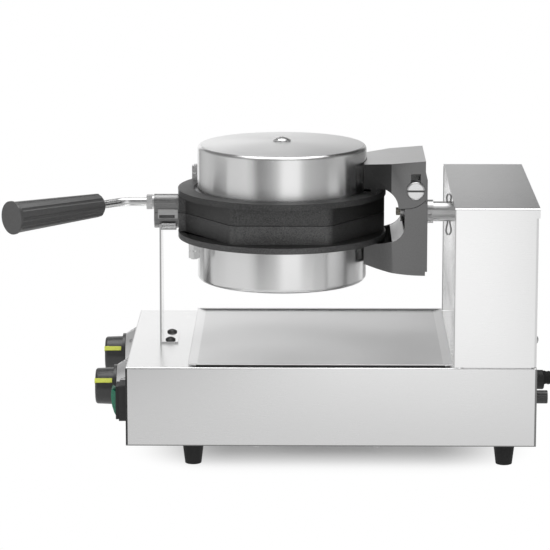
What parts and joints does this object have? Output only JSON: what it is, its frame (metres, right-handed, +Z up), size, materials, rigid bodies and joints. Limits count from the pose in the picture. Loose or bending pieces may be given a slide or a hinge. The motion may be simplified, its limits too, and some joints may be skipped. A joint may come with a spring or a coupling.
{
  "type": "bubble waffle maker",
  "caption": "Countertop waffle maker: hexagonal moulds between round heater chambers turn on a hollow shaft over a drip tray, with a hinged lid and a bent handle.",
  "frame": {"origin": "on the table, under the middle of the machine from the grip's tip to the reset cap; the mains lead is left out of it", "axes": "+X from the cook's side to the tower, +Y to the cook's left, +Z up"},
  "size_m": [0.652, 0.25, 0.2871],
  "materials": {
    "brushed_sheet": "brushed",
    "polished_sheet": "polished",
    "bare_sheet": "mill",
    "tray_sheet": "brushed",
    "cast_plate": "non-stick coated",
    "bracket_steel": "dark satin",
    "bright_steel": "polished",
    "zinc_steel": "zinc plated",
    "dark_steel": "dull",
    "bronze": "turned",
    "element_tube": "oxidised",
    "mineral_fibre": "matt",
    "lead_sleeve": "woven",
    "black_rubber": "matt",
    "black_bakelite": "satin",
    "black_nylon": "satin",
    "dial_plastic": "silver print",
    "pointer_plastic": "gloss",
    "rocker_plastic": "gloss",
    "cream_plastic": "matt",
    "red_plastic": "gloss",
    "cord_sheath": "matt",
    "plug_body": "matt"
  },
  "bodies": {
    "chassis": {"base_shell": "brushed_sheet", "bottom_plate": "bare_sheet", "rubber_feet": "black_rubber", "foot_screws": "zinc_steel", "tower_cover": "brushed_sheet", "tower_front_plate": "brushed_sheet", "tower_rear_cover": "brushed_sheet", "rear_cover_screws": "zinc_steel", "front_upright": "polished_sheet", "upright_screws": "dark_steel", "bearing_bracket": "zinc_steel", "shaft_bushes": "bronze", "thermostat_body": "bare_sheet", "timer_body": "black_nylon", "thermostat_dial": "dial_plastic", "timer_dial": "dial_plastic", "switch_housing": "black_nylon", "terminal_block": "cream_plastic", "limit_thermostat": "black_bakelite", "cable_gland": "black_nylon", "power_cord": "cord_sheath", "cord_coil": "cord_sheath", "plug": "plug_body"},
    "tray": {"drip_tray": "tray_sheet"},
    "pan": {"lower_plate": "cast_plate", "lower_cover": "polished_sheet", "lower_element": "element_tube", "lower_mat": "mineral_fibre", "lower_cover_bolt": "bright_steel", "lower_earth_stud": "dark_steel", "lower_bracket": "bracket_steel", "lower_bracket_bolts": "dark_steel", "shaft": "bright_steel", "shaft_nut": "zinc_steel", "shaft_collar": "zinc_steel", "split_pin": "dark_steel", "stop_collar": "zinc_steel", "heater_leads": "lead_sleeve"},
    "pins": {"hinge_pins": "bright_steel"},
    "lid": {"upper_plate": "cast_plate", "upper_cover": "polished_sheet", "upper_element": "element_tube", "upper_mat": "mineral_fibre", "upper_cover_bolt": "bright_steel", "upper_earth_stud": "dark_steel", "upper_bracket": "bracket_steel", "upper_bracket_bolts": "dark_steel", "guide_clip": "zinc_steel", "handle_rod": "bright_steel", "handle_nut": "bright_steel", "handle_grip": "black_bakelite"},
    "thermostat_control": {"thermostat_knob": "black_nylon", "thermostat_pointer": "pointer_plastic", "thermostat_spindle": "bright_steel"},
    "timer_control": {"timer_knob": "black_nylon", "timer_pointer": "pointer_plastic", "timer_spindle": "bright_steel"},
    "switch_rocker": {"rocker": "rocker_plastic"},
    "reset_push": {"reset_button": "red_plastic"},
    "reset_cover": {"reset_cap": "black_nylon"}
  },
  "joints": [
    {"name": "pan_flip", "type": "hinge", "parent": "chassis", "child": "pan", "pos_m": [0.00516, 0, 0.2165], "axis": [1, 0, 0], "range_deg": [-180, 0]},
    {"name": "lid_open", "type": "hinge", "parent": "pan", "child": "pins", "pos_m": [0.12946, 0, 0.2444], "axis": [0, 1, 0], "range_deg": [0, 93]},
    {"name": "lid_float", "type": "slide", "parent": "pins", "child": "lid", "axis": [0, 0, 1], "range_m": [0, 0.0035]},
    {"name": "tray_slide", "type": "slide", "parent": "chassis", "child": "tray", "axis": [0, -1, 0], "range_m": [0, 0.26]},
    {"name": "thermostat_turn", "type": "hinge", "parent": "chassis", "child": "thermostat_control", "pos_m": [-0.13634, 0.067, 0.0628], "axis": [1, 0, 0], "range_deg": [-60, 210]},
    {"name": "timer_turn", "type": "hinge", "parent": "chassis", "child": "timer_control", "pos_m": [-0.13634, -0.067, 0.0628], "axis": [1, 0, 0], "range_deg": [-60, 240]},
    {"name": "switch_rock", "type": "hinge", "parent": "chassis", "child": "switch_rocker", "pos_m": [-0.14434, -0.017, 0.0589], "axis": [0, 1, 0], "range_deg": [0, 18]},
    {"name": "reset_press", "type": "slide", "parent": "chassis", "child": "reset_push", "axis": [-1, 0, 0], "range_m": [0, 0.002], "stiffness_N_per_m": 300, "springref_m": -0.002},
    {"name": "reset_cap_pull", "type": "slide", "parent": "chassis", "child": "reset_cover", "axis": [1, 0, 0], "range_m": [0, 0.03]}
  ]
}
